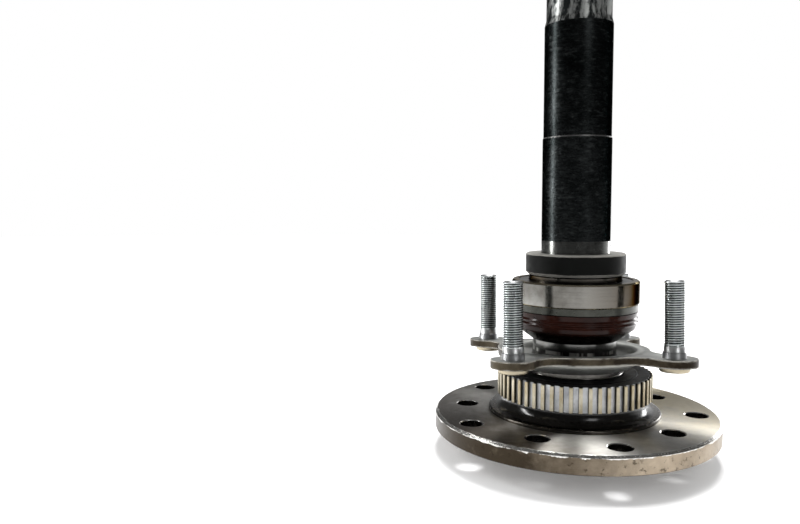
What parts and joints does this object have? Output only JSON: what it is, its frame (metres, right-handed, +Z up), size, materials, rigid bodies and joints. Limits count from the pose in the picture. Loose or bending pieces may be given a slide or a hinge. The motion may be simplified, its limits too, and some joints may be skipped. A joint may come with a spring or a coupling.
{
  "type": "axle shaft",
  "caption": "Rear drive axle shaft with wheel flange, tone ring, loose retainer plate on studs, lip seal, ball bearing, lock ring and splined end.",
  "frame": {"origin": "centre of the end face of the pilot, on which the part stands", "axes": "+Z up along the shaft, from the wheel flange towards the splined end; +X to the right and +Y to the back of the standing part, with the loose plate leaning down towards +Y"},
  "size_m": [0.1649, 0.165, 0.825],
  "materials": {
    "shaft_steel": "turned satin on the flange and hub, black forging scale on the shaft",
    "cap_white": "satin white coat on a pressed cap",
    "cap_black": "smooth black",
    "ring_steel": "sintered teeth with cream lands and grey floors",
    "bearing_steel": "ground and bright",
    "ball_steel": "polished",
    "cage_steel": "pressed sheet",
    "shield_steel": "pressed sheet",
    "seal_metal": "dull pressed steel",
    "seal_rubber": "moulded dark maroon rubber with glossy ribs",
    "spring_steel": "drawn wire",
    "lock_black": "black oxide, lighter on the turned top",
    "plate_steel": "dull grey sheet, smooth in the drawn dish",
    "stud_zinc": "bright zinc on rolled thread"
  },
  "bodies": {
    "axle": {"axle_shaft": "shaft_steel", "hub_cap": "cap_white", "cap_disc": "cap_black", "tone_ring": "ring_steel", "bearing_inner_ring": "bearing_steel", "lock_ring": "lock_black"},
    "ball_cage": {"cage_upper": "cage_steel", "cage_lower": "cage_steel", "cage_rivets": "cage_steel", "ball_01": "ball_steel", "ball_02": "ball_steel", "ball_03": "ball_steel", "ball_04": "ball_steel", "ball_05": "ball_steel", "ball_06": "ball_steel", "ball_07": "ball_steel", "ball_08": "ball_steel", "ball_09": "ball_steel", "ball_10": "ball_steel", "ball_11": "ball_steel", "ball_12": "ball_steel"},
    "bearing_outer": {"bearing_outer_race": "bearing_steel", "bearing_shield": "shield_steel", "seal_case": "seal_metal", "seal_rubber": "seal_rubber", "seal_spring": "spring_steel"},
    "retainer": {"retainer_plate": "plate_steel", "retainer_stud_1": "stud_zinc", "retainer_stud_2": "stud_zinc", "retainer_stud_3": "stud_zinc", "retainer_stud_4": "stud_zinc"}
  },
  "joints": [
    {"name": "bearing_spin", "type": "hinge", "parent": "axle", "child": "bearing_outer", "pos_m": [0, 0, 0.0951], "axis": [0, 0, 1], "continuous": true},
    {"name": "cage_spin", "type": "hinge", "parent": "axle", "child": "ball_cage", "pos_m": [0, 0, 0.0951], "axis": [0, 0, 1], "continuous": true},
    {"name": "plate_slide", "type": "slide", "parent": "bearing_outer", "child": "retainer", "axis": [0, 0, 1], "range_m": [0, 0.0083]}
  ],
  "couplings": [
    {"joint": "cage_spin", "follows": "bearing_spin", "ratio": 0.5785}
  ]
}
